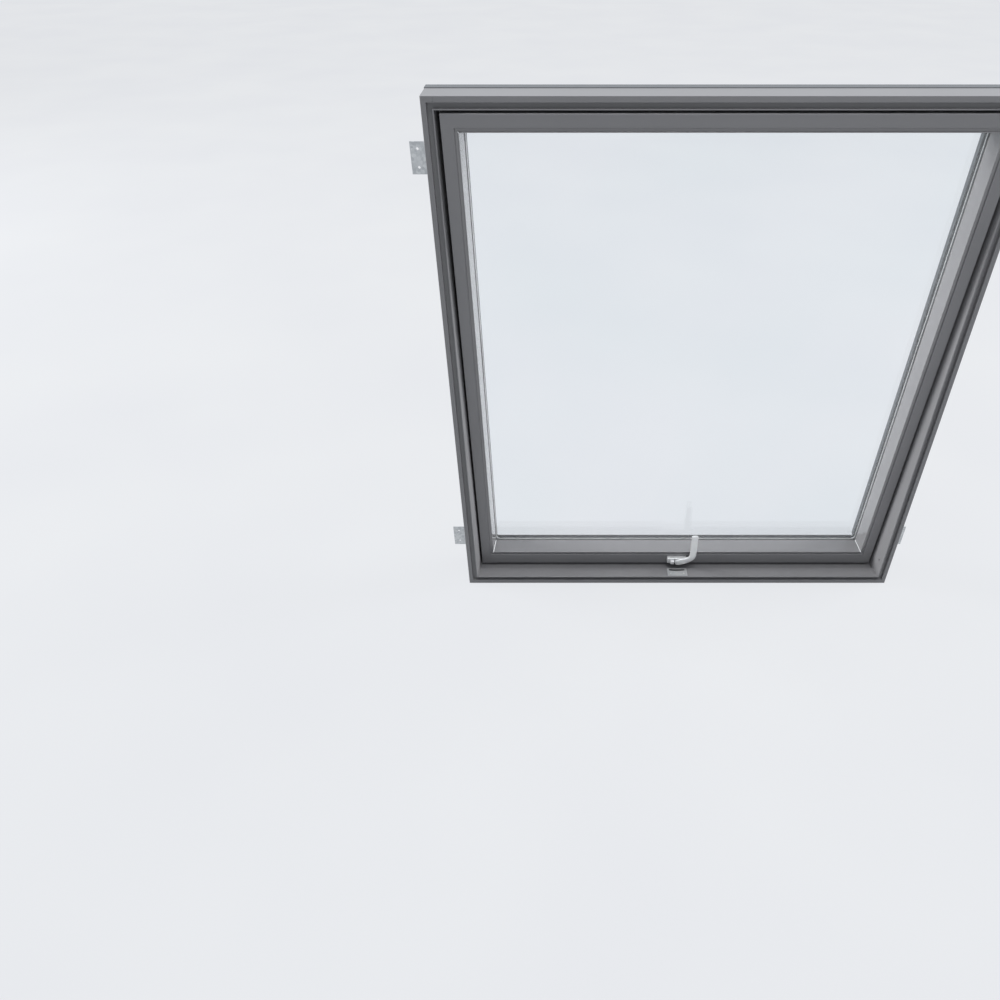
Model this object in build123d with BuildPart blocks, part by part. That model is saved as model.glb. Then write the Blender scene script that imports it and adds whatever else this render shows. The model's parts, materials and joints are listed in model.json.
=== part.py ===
from build123d import *
import os
from math import cos, radians, sin, sqrt, tan

# Centre-pivot roof window: a fixed frame, a glazed sash that turns on two side pivots,
# and a lever handle that locks the sash in a keeper on the sill.
# X runs along the sill, +Y points outdoors and +Z up the window. The room is at -Y.
# The origin is the centre of the window in the plane of the mounting brackets.
# The sash stands a little open, with its lower edge pushed outwards and the lever unlocked.

os.makedirs("parts", exist_ok=True)

# Frame
frame_width = 1340.0
frame_height = 1400.0
frame_depth = 112.0
bracket_level = 70.0
lining_cover = 27.5
jamb_taper = 5.5
taper_depth = 42.0
sill_rebate = 8.0
frame_edge_radius = 1.5

# Groove that takes the lining boards of the opening
groove_lip = 3.0
groove_width = 12.5
groove_depth = 10.0

# Small socket in the right jamb for a cleaning bolt
socket_radius = 3.25
socket_depth = 18.0
socket_height = 51.5
socket_inset = 22.0

# Sash
side_gap = 5.5
end_gap = 3.0
sash_recess = 32.5
pivot_edge_distance = 37.0
open_angle = 2.8
stile_face = 38.5
top_rail_face = 38.5
bottom_rail_face = 47.5
sash_edge_radius = 1.5
shadow_step_width = 9.5
shadow_step_depth = 4.0
step_arris_radius = 1.0
outer_lip_reach = 3.0
outer_lip_thickness = 4.5

# Glazing
bead_width = 8.0
bead_reach = 6.0
bead_nose = 2.0
bead_nose_height = 3.0
bead_nose_radius = 0.8
reveal_depth = 54.0
gasket_thickness = 2.0
gasket_reach = 3.0
gasket_hold = 11.0
glass_edge_gap = 2.0
inner_pane_thickness = 6.0
cavity = 12.0
outer_pane_thickness = 4.0
spacer_inset = 3.0
spacer_width = 7.0
spacer_corner_radius = 9.0
outer_gasket_thickness = 1.0
outer_gasket_radius = 8.0
outer_gasket_reach = 2.5

# Sheet covers on the outer side of the sash, raised along the sides
cover_sheet = 1.2
side_cover_reach = 1.3
end_cover_setback = 1.0
side_cover_rise = 15.0
side_cover_flat = 20.0
side_cover_edge = 7.0
cover_bend_radius = 1.5
cover_clearance = 0.8

# Frame seal
seal_edge_distance = 10.0
seal_width = 5.0
seal_root = 4.0
seal_lip = 2.0
seal_clearance = 0.3

# Pivots
pin_radius = 6.0
pin_play = 0.05
pivot_plate_depth = 34.0
frame_plate_height = 120.0
sash_plate_setback = 12.0
frame_plate_thickness = 3.0
sash_plate_thickness = 2.5
bush_radius = 11.0
bush_length = 16.0
bush_floor = 2.0
pin_end_gap = 1.5
washer_radius = 15.0
washer_clearance = 0.3
plate_corner_radius = 6.0
hinge_screw_radius = 2.2
hinge_screw_head = 4.4
hinge_screw_length = 22.0
screw_inset = 12.0
countersink_angle = 90.0

# Lever handle
hub_rise = 20.5
hub_shift = 5.0
base_width = 63.0
base_height = 21.0
base_thickness = 12.5
base_corner_radius = 3.0
base_edge_radius = 1.5
hub_radius = 11.0
elbow_x = 44.5
elbow_rise = 20.0
elbow_radius = 10.3
grip_top = 113.0
grip_foot_width = 20.6
grip_top_width = 20.7
grip_lean = -1.9
grip_end_radius = 2.5
lever_thickness = 9.0
lever_clearance = 0.3
lever_edge_radius = 2.0
boss_reach = 27.0
boss_radius = 6.0
boss_drop = 2.0
boss_height = 8.0
boss_gap = 4.2
spindle_radius = 4.0
tongue_reach = 27.5
tongue_tip_radius = 4.5
tongue_root_radius = 7.0
tongue_thickness = 4.0
tongue_standoff = 1.0
tongue_play = 1.0

# Keeper on the sill
keeper_width = 63.0
keeper_depth = 35.0
keeper_inset = 3.0
keeper_thickness = 1.5
slot_length = 50.0
slot_play = 2.6
slot_end_width = 6.0
slot_drop = 7.0
keeper_screw_radius = 1.8
keeper_screw_head = 3.1
keeper_screw_length = 20.0
keeper_screw_end = 11.0
keeper_screw_inset = 14.0

# Mounting brackets
bracket_inset = 140.0
bracket_width = 70.0
bracket_leg = 45.0
bracket_drop = 32.0
bracket_sheet = 2.5
bracket_bend_radius = 3.0
bracket_hole_radius = 3.0
bracket_hole_out = 28.0
bracket_hole_spacing = 40.0
bracket_screw_radius = 2.5
bracket_screw_play = 0.3
bracket_screw_head = 5.0
bracket_screw_head_height = 3.0
bracket_screw_length = 24.0

# Outer cladding of the frame
cladding_sheet = 1.2
cladding_inset = 1.0
cladding_gap = 9.5

# Places worked out from the sizes above
room_y = -bracket_level
seal_depth = frame_depth - seal_edge_distance
pivot_depth = frame_depth - pivot_edge_distance
half_width = frame_width / 2
half_height = frame_height / 2
bracket_height = half_height - bracket_inset
clear_x = half_width - lining_cover
clear_z = half_height - lining_cover
wall_x = clear_x - jamb_taper
rebate_z = clear_z + sill_rebate
sash_x = wall_x - side_gap
sash_z = clear_z - end_gap
pivot_y = room_y + pivot_depth
face_y = sash_recess - pivot_depth
opening_x = sash_x - stile_face
opening_z = sash_z - (bottom_rail_face + top_rail_face) / 2
opening_shift = (bottom_rail_face - top_rail_face) / 2
glass_y = face_y + reveal_depth
cavity_y = glass_y + inner_pane_thickness
outer_pane_y = cavity_y + cavity
glass_back_y = outer_pane_y + outer_pane_thickness
lip_y = glass_back_y + outer_gasket_thickness
back_y = lip_y + outer_lip_thickness
sash_depth = back_y - face_y
pocket_x = opening_x + bead_width
pocket_z = opening_z + bead_width
sash_plate_height = frame_plate_height - 2 * sash_plate_setback
hub_z = hub_rise - sash_z
swing_radius = sqrt(sash_z**2 + max(-face_y, back_y + cover_sheet) ** 2)

# The tilted sash has a plane of its own: local X along the sill, Y outdoors, Z up the sash
tilt = radians(open_angle)
sash = Plane(origin=(0, pivot_y, 0), x_dir=(1, 0, 0), z_dir=(0, -sin(tilt), cos(tilt)))
sash_up = Axis(sash.origin, sash.z_dir)
sash_out = Axis(sash.origin, sash.y_dir)
glazing = sash.offset(opening_shift)


def frame_sheet(depth):
    """Plane parallel to the frame, at a depth from its room edge, facing the room."""
    return Plane(origin=(0, room_y + depth, 0), x_dir=(1, 0, 0), z_dir=(0, -1, 0))


def sash_sheet(base, y):
    """Plane parallel to the glass, at a local depth of the sash, facing the room."""
    return Plane(origin=base.from_local_coords((0, y, 0)), x_dir=base.x_dir, z_dir=-base.y_dir)


def side_plane(base, outward):
    """Section plane of the bar that lies on one side of the opening, X outwards, Y outdoors."""
    return Plane(origin=base.origin, x_dir=outward, z_dir=outward.cross(base.y_dir))


def mitre_plane(base, section, reach, run, end):
    """Plane of a corner mitre, facing the bar whose section plane is given."""
    corner = base.origin + section.x_dir * reach + section.z_dir * (run * end)
    return Plane(origin=corner, x_dir=base.y_dir, z_dir=section.x_dir - section.z_dir * end)


def mitred_bar(base, outward, reach, run, outline, front_radius=0.0):
    """Bar of one section beside a rectangular opening, mitred at both ends."""
    section = side_plane(base, outward)
    with BuildPart() as bar:
        with BuildSketch(section) as profile:
            with BuildLine():
                Polyline([(reach + out, y) for out, y in outline], close=True)
            make_face()
            if front_radius > 0:
                fillet(profile.vertices().group_by(Axis.Y)[0], front_radius)
        extrude(amount=run + 3 * lining_cover, both=True)
        split(bisect_by=mitre_plane(base, section, reach, run, 1), keep=Keep.TOP)
        split(bisect_by=mitre_plane(base, section, reach, run, -1), keep=Keep.TOP)
    return bar


def sides(base, reach_x, reach_z):
    """Name, outward direction, reach and run of the four sides of an opening."""
    return [
        ("right", base.x_dir, reach_x, reach_z),
        ("top", base.z_dir, reach_z, reach_x),
        ("left", base.x_dir * -1, reach_x, reach_z),
        ("bottom", base.z_dir * -1, reach_z, reach_x),
    ]


def ring(plane, out_x, out_z, in_x, in_z, thickness, outer_radius=0.0, inner_radius=0.0):
    """Flat rectangular ring that runs outdoors from a plane."""
    with BuildPart() as band:
        with BuildSketch(plane):
            if outer_radius > 0:
                RectangleRounded(2 * out_x, 2 * out_z, outer_radius)
            else:
                Rectangle(2 * out_x, 2 * out_z)
            if inner_radius > 0:
                RectangleRounded(2 * in_x, 2 * in_z, inner_radius, mode=Mode.SUBTRACT)
            else:
                Rectangle(2 * in_x, 2 * in_z, mode=Mode.SUBTRACT)
        extrude(amount=-thickness)
    return band


# Frame: two jambs that run full height, with the head and the sill between them
lining_groove = ring(
    frame_sheet(0),
    clear_x + groove_lip + groove_width,
    clear_z + groove_lip + groove_width,
    clear_x + groove_lip,
    clear_z + groove_lip,
    groove_depth,
)
seal_groove = ring(
    frame_sheet(seal_depth),
    wall_x + seal_root,
    rebate_z + seal_root,
    wall_x - side_gap,
    rebate_z - end_gap,
    seal_width,
)
slot_near = sash_recess - tongue_standoff - tongue_thickness - slot_play
slot_width = tongue_thickness + 2 * slot_play


def jamb_outline(side):
    """Section of a jamb, its inner side tapered up to the step behind the room edge."""
    return [
        (side * half_width, room_y),
        (side * clear_x, room_y),
        (side * wall_x, room_y + taper_depth),
        (side * wall_x, room_y + frame_depth),
        (side * half_width, room_y + frame_depth),
    ]


def keeper_slot(plane, depth):
    """Slot for the tongue, curved on its room side, cut from the piece being built."""
    near_y = room_y + slot_near
    far_y = near_y + slot_width
    end_x = slot_length / 2
    with BuildSketch(plane) as slot:
        with BuildLine():
            Polyline((-end_x, far_y - slot_end_width), (-end_x, far_y), (end_x, far_y),
                     (end_x, far_y - slot_end_width))
            ThreePointArc((end_x, far_y - slot_end_width), (0, near_y), (-end_x, far_y - slot_end_width))
        make_face()
    extrude(slot.sketch, amount=depth, mode=Mode.SUBTRACT)


for name, side in (("left", -1), ("right", 1)):
    with BuildPart() as jamb:
        with BuildSketch(Plane.XY.offset(-half_height)):
            with BuildLine():
                Polyline(jamb_outline(side), close=True)
            make_face()
        extrude(amount=frame_height)
        room_edge = jamb.edges().filter_by(Axis.Z).group_by(Axis.Y)[0]
        fillet(room_edge, frame_edge_radius)
        add(lining_groove.part, mode=Mode.SUBTRACT)
        add(seal_groove.part, mode=Mode.SUBTRACT)
        # mortise of the pivot plate
        with BuildSketch(Plane.YZ.offset(side * wall_x)):
            with Locations((pivot_y, 0)):
                RectangleRounded(pivot_plate_depth, frame_plate_height, plate_corner_radius)
        extrude(amount=side * frame_plate_thickness, mode=Mode.SUBTRACT)
        # pilot holes of the pivot screws and of the bracket screws
        with BuildSketch(Plane.YZ.offset(side * wall_x)):
            with Locations((pivot_y, 0)):
                with GridLocations(0, frame_plate_height - 2 * screw_inset, 1, 2):
                    Circle(hinge_screw_radius)
        extrude(amount=side * hinge_screw_length, mode=Mode.SUBTRACT)
        for height in (-bracket_height, bracket_height):
            with BuildSketch(Plane.YZ.offset(side * half_width)):
                with Locations((-bracket_drop / 2, height)):
                    with GridLocations(0, bracket_hole_spacing, 1, 2):
                        Circle(bracket_screw_radius)
            extrude(amount=-side * bracket_screw_length, mode=Mode.SUBTRACT)
        if side > 0:
            with BuildSketch(Plane.YZ.offset(wall_x)):
                with Locations((room_y + socket_inset, socket_height - clear_z)):
                    Circle(socket_radius)
            extrude(amount=jamb_taper + socket_depth, mode=Mode.SUBTRACT)
    jamb.part.label = f"frame_{name}_jamb"
    export_step(jamb.part, f"parts/frame_{name}_jamb.step")

for name, side in (("sill", -1), ("head", 1)):
    with BuildPart() as beam:
        with BuildSketch(Plane.YZ.offset(-half_width)):
            with BuildLine():
                Polyline(
                    (room_y, side * half_height),
                    (room_y, side * clear_z),
                    (room_y + taper_depth, side * clear_z),
                    (room_y + taper_depth, side * rebate_z),
                    (room_y + frame_depth, side * rebate_z),
                    (room_y + frame_depth, side * half_height),
                    close=True,
                )
            make_face()
        extrude(amount=frame_width)
        inner_edges = beam.edges().filter_by(Axis.X).filter_by_position(
            Axis.Z, side * clear_z - 0.01, side * clear_z + 0.01
        )
        fillet(inner_edges, frame_edge_radius)
        with BuildSketch(Plane.XY.offset(-half_height)):
            with BuildLine():
                Polyline(jamb_outline(1), close=True)
            make_face()
            mirror(about=Plane.YZ)
        extrude(amount=frame_height, mode=Mode.SUBTRACT)
        add(lining_groove.part, mode=Mode.SUBTRACT)
        add(seal_groove.part, mode=Mode.SUBTRACT)
        if side < 0:
            # pocket under the keeper slot and pilot holes of its screws
            keeper_slot(Plane.XY.offset(-clear_z), -slot_drop)
            with BuildSketch(Plane.XY.offset(-clear_z)):
                with Locations((0, room_y + keeper_screw_inset)):
                    with GridLocations(keeper_width - 2 * keeper_screw_end, 0, 2, 1):
                        Circle(keeper_screw_radius)
            extrude(amount=-keeper_screw_length, mode=Mode.SUBTRACT)
    beam.part.label = f"frame_{name}"
    export_step(beam.part, f"parts/frame_{name}.step")

# Rubber seal in the frame's groove, its lip just clear of the turning sash
with BuildPart() as frame_seal:
    with BuildSketch(frame_sheet(seal_depth)):
        Rectangle(2 * (wall_x + seal_root), 2 * (rebate_z + seal_root))
        Rectangle(2 * (wall_x - 1), 2 * (rebate_z - 1), mode=Mode.SUBTRACT)
    extrude(amount=-seal_width)
    with BuildSketch(frame_sheet(seal_depth + (seal_width - seal_lip) / 2)):
        Rectangle(2 * wall_x, 2 * rebate_z)
        Rectangle(
            2 * (sash_x + seal_clearance),
            2 * (swing_radius + seal_clearance),
            mode=Mode.SUBTRACT,
        )
    extrude(amount=-seal_lip)
frame_seal.part.label = "frame_seal"
export_step(frame_seal.part, "parts/frame_seal.step")

# Sash: stiles that run full height, rails between them, all rebated for the glass
lip_x = opening_x - outer_lip_reach
step_x = opening_x + shadow_step_width
step_z = opening_z + shadow_step_width
sash_front = sash_sheet(glazing, face_y)


def rebate_cuts():
    """Glass pocket and the shadow step around it, cut from the sash member being built."""
    with BuildSketch(sash_front) as glass_pocket:
        Rectangle(2 * pocket_x, 2 * pocket_z)
    extrude(glass_pocket.sketch, amount=-(lip_y - face_y), mode=Mode.SUBTRACT)
    with BuildSketch(sash_front) as shadow_step:
        Rectangle(2 * step_x, 2 * step_z)
    extrude(shadow_step.sketch, amount=-shadow_step_depth, mode=Mode.SUBTRACT)
    with BuildSketch(sash_front) as daylight:
        Rectangle(2 * lip_x, 2 * (opening_z - outer_lip_reach))
    extrude(daylight.sketch, amount=-2 * sash_depth, mode=Mode.SUBTRACT)


def is_step_arris(edge):
    """Whether an edge is the front arris of the shadow step."""
    middle = glazing.to_local_coords(edge.center())
    beside_step = abs(middle.X) < step_x + step_arris_radius and abs(middle.Z) < step_z + step_arris_radius
    return beside_step and abs(middle.Y - face_y) < step_arris_radius / 10


for name, side in (("left", -1), ("right", 1)):
    with BuildPart() as stile:
        with BuildSketch(sash.offset(-sash_z)):
            with Locations((side * (lip_x + sash_x) / 2, (face_y + back_y) / 2)):
                Rectangle(sash_x - lip_x, sash_depth)
        extrude(amount=2 * sash_z)
        outer_edges = stile.edges().filter_by(sash_up).group_by(
            lambda edge: round(abs(edge.center().X), 3)
        )[-1]
        fillet(outer_edges, sash_edge_radius)
        rebate_cuts()
        fillet(stile.edges().filter_by(is_step_arris), step_arris_radius)
        hinge_face = Plane(
            origin=sash.from_local_coords((side * sash_x, 0, 0)), x_dir=sash.y_dir, z_dir=(1, 0, 0)
        )
        with BuildSketch(hinge_face):
            RectangleRounded(pivot_plate_depth, sash_plate_height, plate_corner_radius)
        extrude(amount=-side * sash_plate_thickness, mode=Mode.SUBTRACT)
        with BuildSketch(hinge_face):
            Circle(bush_radius)
        extrude(amount=-side * bush_length, mode=Mode.SUBTRACT)
        with BuildSketch(hinge_face):
            with GridLocations(0, sash_plate_height - 2 * screw_inset, 1, 2):
                Circle(hinge_screw_radius)
        extrude(amount=-side * hinge_screw_length, mode=Mode.SUBTRACT)
    stile.part.label = f"sash_{name}_stile"
    export_step(stile.part, f"parts/sash_{name}_stile.step")

for name, side in (("bottom", -1), ("top", 1)):
    lip_z = side * (opening_z - outer_lip_reach) + opening_shift
    with BuildPart() as rail:
        with BuildSketch(Plane(origin=sash.origin, x_dir=sash.y_dir, z_dir=(1, 0, 0))):
            with Locations(((face_y + back_y) / 2, (lip_z + side * sash_z) / 2)):
                Rectangle(sash_depth, abs(side * sash_z - lip_z))
        extrude(amount=lip_x, both=True)
        outer_edges = rail.edges().filter_by(Axis.X).sort_by(sash_up)
        outer_edges = outer_edges[-2:] if side > 0 else outer_edges[:2]
        fillet(outer_edges, sash_edge_radius)
        rebate_cuts()
        fillet(rail.edges().filter_by(is_step_arris), step_arris_radius)
    rail.part.label = f"sash_{name}_rail"
    export_step(rail.part, f"parts/sash_{name}_rail.step")

# Glazing beads: a raised nose, a low ledge and a long slanted face down to the glass
bead_front = face_y + shadow_step_depth - bead_nose_height
ledge_y = face_y + shadow_step_depth
bead_back = glass_y - gasket_thickness
bead_outline = [
    (0, bead_front),
    (bead_nose, bead_front),
    (bead_nose, ledge_y),
    (bead_width, ledge_y),
    (bead_width, bead_back),
    (-bead_reach, bead_back),
]
for name, outward, reach, run in sides(glazing, opening_x, opening_z):
    bead = mitred_bar(glazing, outward, reach, run, bead_outline, bead_nose_radius)
    bead.part.label = f"glazing_bead_{name}"
    export_step(bead.part, f"parts/glazing_bead_{name}.step")

# Insulating glass with a bent spacer bar, a dark edge seal and rubber on both sides
glass_x = pocket_x - glass_edge_gap
glass_z = pocket_z - glass_edge_gap
for name, y, thickness in (
    ("inner_pane", glass_y, inner_pane_thickness),
    ("outer_pane", outer_pane_y, outer_pane_thickness),
):
    with BuildPart() as pane:
        with BuildSketch(sash_sheet(glazing, y)):
            Rectangle(2 * glass_x, 2 * glass_z)
        extrude(amount=-thickness)
    pane.part.label = name
    export_step(pane.part, f"parts/{name}.step")

inner_spacer_x = opening_x - bead_reach - spacer_inset
inner_spacer_z = opening_z - bead_reach - spacer_inset
spacer = ring(
    sash_sheet(glazing, cavity_y),
    inner_spacer_x + spacer_width,
    inner_spacer_z + spacer_width,
    inner_spacer_x,
    inner_spacer_z,
    cavity,
    spacer_corner_radius + spacer_width,
    spacer_corner_radius,
)
spacer.part.label = "spacer_bar"
export_step(spacer.part, "parts/spacer_bar.step")

edge_seal = ring(
    sash_sheet(glazing, cavity_y),
    glass_x,
    glass_z,
    inner_spacer_x + spacer_width,
    inner_spacer_z + spacer_width,
    cavity,
    0.0,
    spacer_corner_radius + spacer_width,
)
edge_seal.part.label = "glass_edge_seal"
export_step(edge_seal.part, "parts/glass_edge_seal.step")

inner_gasket = ring(
    sash_sheet(glazing, bead_back),
    opening_x - bead_reach + gasket_hold,
    opening_z - bead_reach + gasket_hold,
    opening_x - bead_reach - gasket_reach,
    opening_z - bead_reach - gasket_reach,
    gasket_thickness,
)
inner_gasket.part.label = "inner_glazing_gasket"
export_step(inner_gasket.part, "parts/inner_glazing_gasket.step")

outer_gasket = ring(
    sash_sheet(glazing, glass_back_y),
    glass_x,
    glass_z,
    opening_x - bead_reach - outer_gasket_reach,
    opening_z - bead_reach - outer_gasket_reach,
    outer_gasket_thickness,
    0.0,
    outer_gasket_radius,
)
outer_gasket.part.label = "outer_glazing_gasket"
export_step(outer_gasket.part, "parts/outer_glazing_gasket.step")

# Side covers: raised channels with closed ends, turned down onto the outer gasket
cover_x = opening_x - bead_reach - side_cover_reach
cover_z = opening_z - bead_reach + end_cover_setback
ridge_y = back_y + side_cover_rise
for name, side in (("left", -1), ("right", 1)):
    with BuildPart() as cover:
        with BuildSketch(glazing.offset(-cover_z)):
            with BuildLine():
                Polyline(
                    (side * cover_x, back_y),
                    (side * cover_x, ridge_y),
                    (side * (cover_x + side_cover_flat), ridge_y),
                    (side * sash_x, back_y + side_cover_edge),
                    (side * sash_x, back_y),
                    close=True,
                )
            make_face()
        extrude(amount=2 * cover_z)
        top_edges = cover.edges().filter_by(sash_up).sort_by(sash_out)[2:]
        fillet(top_edges, cover_bend_radius)
        underside = cover.faces().sort_by(sash_out)[0]
        offset(amount=-cover_sheet, openings=underside)
        with BuildSketch(glazing.offset(-cover_z)):
            with Locations((side * (cover_x + cover_sheet / 2), (lip_y + back_y) / 2)):
                Rectangle(cover_sheet, outer_lip_thickness)
        extrude(amount=2 * cover_z)
    cover.part.label = f"sash_cover_{name}"
    export_step(cover.part, f"parts/sash_cover_{name}.step")

# End covers: flat strips across the full width, so that rain runs off below the glass
for name, side in (("bottom", -1), ("top", 1)):
    inner_z = side * cover_z + opening_shift
    with BuildPart() as cover:
        with BuildSketch(sash_sheet(sash, back_y)):
            with Locations((0, (inner_z + side * sash_z) / 2)):
                Rectangle(2 * sash_x, abs(side * sash_z - inner_z))
        extrude(amount=-cover_sheet)
        outer_edge = cover.edges().filter_by(Axis.X).sort_by(sash_up)
        outer_edge = outer_edge[-2:] if side > 0 else outer_edge[:2]
        fillet(outer_edge.sort_by(sash_out)[-1], cover_sheet / 2)
        with BuildSketch(sash_sheet(sash, lip_y)):
            with Locations((0, inner_z + side * cover_sheet / 2)):
                Rectangle(2 * (lip_x - cover_clearance), cover_sheet)
        extrude(amount=-outer_lip_thickness)
    cover.part.label = f"sash_cover_{name}"
    export_step(cover.part, f"parts/sash_cover_{name}.step")

# Sheet cladding over the outer edge of the frame, its skirt ending just above the brackets
cladding_y = room_y + frame_depth - pivot_y
cladding_skirt = frame_depth - bracket_level - bracket_sheet - cladding_gap
for name, outward, reach, run in sides(
    Plane(origin=(0, pivot_y, 0), x_dir=(1, 0, 0), z_dir=(0, 0, 1)), half_width, half_height
):
    inner = wall_x if outward.Z == 0 else rebate_z
    cladding_outline = [
        (inner + cladding_inset - reach, cladding_y),
        (0, cladding_y),
        (0, cladding_y - cladding_skirt),
        (cladding_sheet, cladding_y - cladding_skirt),
        (cladding_sheet, cladding_y + cladding_sheet),
        (inner + cladding_inset - reach, cladding_y + cladding_sheet),
    ]
    cladding = mitred_bar(
        Plane(origin=(0, pivot_y, 0), x_dir=(1, 0, 0), z_dir=(0, 0, 1)),
        outward,
        reach,
        run,
        cladding_outline,
    )
    cladding.part.label = f"frame_cladding_{name}"
    export_step(cladding.part, f"parts/frame_cladding_{name}.step")

# Pivots: a pin on the jamb's plate turns in a blind bush on the stile's plate
bore_depth = bush_length - bush_floor
pin_tip_x = sash_x - bore_depth + pin_end_gap
for name, side in (("left", -1), ("right", 1)):
    with BuildPart() as frame_pivot:
        with BuildSketch(Plane.YZ.offset(side * wall_x)):
            with Locations((pivot_y, 0)):
                RectangleRounded(pivot_plate_depth, frame_plate_height, plate_corner_radius)
        extrude(amount=side * frame_plate_thickness)
        with BuildSketch(Plane.YZ.offset(side * pin_tip_x)):
            with Locations((pivot_y, 0)):
                Circle(pin_radius)
        extrude(amount=side * (wall_x - pin_tip_x))
        with Locations(
            Plane(origin=(side * wall_x, pivot_y, 0), x_dir=(0, 1, 0), z_dir=(-side, 0, 0))
        ):
            with GridLocations(0, frame_plate_height - 2 * screw_inset, 1, 2):
                CounterSinkHole(
                    hinge_screw_radius, hinge_screw_head, frame_plate_thickness, countersink_angle
                )
    frame_pivot.part.label = f"{name}_pivot_pin_plate"
    export_step(frame_pivot.part, f"parts/{name}_pivot_pin_plate.step")

    with BuildPart() as washer:
        with BuildSketch(Plane.YZ.offset(side * (sash_x + washer_clearance))):
            with Locations((pivot_y, 0)):
                Circle(washer_radius)
                Circle(pin_radius + pin_play, mode=Mode.SUBTRACT)
        extrude(amount=side * (side_gap - washer_clearance))
    washer.part.label = f"{name}_friction_washer"
    export_step(washer.part, f"parts/{name}_friction_washer.step")

    hinge_face = Plane(
        origin=sash.from_local_coords((side * sash_x, 0, 0)), x_dir=sash.y_dir, z_dir=(1, 0, 0)
    )
    with BuildPart() as sash_pivot:
        with BuildSketch(hinge_face):
            RectangleRounded(pivot_plate_depth, sash_plate_height, plate_corner_radius)
        extrude(amount=-side * sash_plate_thickness)
        with BuildSketch(hinge_face):
            Circle(bush_radius)
        extrude(amount=-side * bush_length)
        with BuildSketch(hinge_face):
            Circle(pin_radius + pin_play)
        extrude(amount=-side * bore_depth, mode=Mode.SUBTRACT)
        with Locations(
            Plane(origin=hinge_face.origin, x_dir=hinge_face.x_dir, z_dir=(side, 0, 0))
        ):
            with GridLocations(0, sash_plate_height - 2 * screw_inset, 1, 2):
                CounterSinkHole(
                    hinge_screw_radius, hinge_screw_head, sash_plate_thickness, countersink_angle
                )
    sash_pivot.part.label = f"{name}_pivot_bush_plate"
    export_step(sash_pivot.part, f"parts/{name}_pivot_bush_plate.step")


def countersunk_screw(shank_radius, head_radius, length):
    """Countersunk screw along +Z, its flat head at z = 0."""
    head_height = (head_radius - shank_radius) / tan(radians(countersink_angle / 2))
    with BuildPart() as screw:
        with BuildSketch(Plane.XZ):
            with BuildLine():
                Polyline(
                    (0, 0),
                    (head_radius, 0),
                    (shank_radius, head_height),
                    (shank_radius, length - shank_radius),
                    (0, length),
                    close=True,
                )
            make_face()
        revolve(axis=Axis.Z)
    return screw


hinge_screw = countersunk_screw(hinge_screw_radius, hinge_screw_head, hinge_screw_length)
with BuildPart() as frame_pivot_screws:
    for side in (-1, 1):
        with Locations(
            Plane(origin=(side * wall_x, pivot_y, 0), x_dir=(0, 1, 0), z_dir=(side, 0, 0))
        ):
            with GridLocations(0, frame_plate_height - 2 * screw_inset, 1, 2):
                add(hinge_screw.part)
frame_pivot_screws.part.label = "frame_pivot_screws"
export_step(frame_pivot_screws.part, "parts/frame_pivot_screws.step")

with BuildPart() as sash_pivot_screws:
    for side in (-1, 1):
        with Locations(
            Plane(
                origin=sash.from_local_coords((side * sash_x, 0, 0)),
                x_dir=sash.y_dir,
                z_dir=(-side, 0, 0),
            )
        ):
            with GridLocations(0, sash_plate_height - 2 * screw_inset, 1, 2):
                add(hinge_screw.part)
sash_pivot_screws.part.label = "sash_pivot_screws"
export_step(sash_pivot_screws.part, "parts/sash_pivot_screws.step")

# Handle base: a block with a boss on its front and a hidden pocket in which the tongue turns
hub = Plane(
    origin=sash.from_local_coords((hub_shift, 0, hub_z)), x_dir=sash.x_dir, z_dir=sash.z_dir
)
base_front = face_y - base_thickness
hub_plane = sash_sheet(hub, base_front)
tongue_near = face_y - tongue_standoff - tongue_thickness
pocket_depth = tongue_standoff + tongue_thickness + tongue_play / 2
with BuildPart() as handle_base:
    with BuildSketch(hub_plane):
        with Locations((-hub_shift, 0)):
            RectangleRounded(base_width, base_height, base_corner_radius)
    extrude(amount=-base_thickness)
    front_edges = handle_base.faces().sort_by(sash_out)[0].edges()
    fillet(front_edges, base_edge_radius)
    # fixed boss beside the hub, cut back round it so that the arm can turn
    with BuildSketch(hub_plane):
        with Locations((-boss_reach / 2, -boss_drop)):
            SlotOverall(boss_reach, 2 * boss_radius)
        Circle(hub_radius + boss_gap, mode=Mode.SUBTRACT)
    extrude(amount=boss_height)
    with BuildSketch(hub_plane.offset(-base_thickness)):
        with BuildLine():
            Polyline(
                (-tongue_reach - tongue_play, tongue_root_radius + tongue_play),
                (tongue_root_radius + tongue_play, tongue_root_radius + tongue_play),
                (tongue_root_radius + tongue_play, -base_height),
                (-tongue_reach - tongue_play, -base_height),
                close=True,
            )
        make_face()
    extrude(amount=pocket_depth, mode=Mode.SUBTRACT)
    with BuildSketch(hub_plane):
        Circle(spindle_radius + pin_play)
    extrude(amount=-base_thickness, mode=Mode.SUBTRACT)
handle_base.part.label = "handle_base"
export_step(handle_base.part, "parts/handle_base.step")

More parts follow.
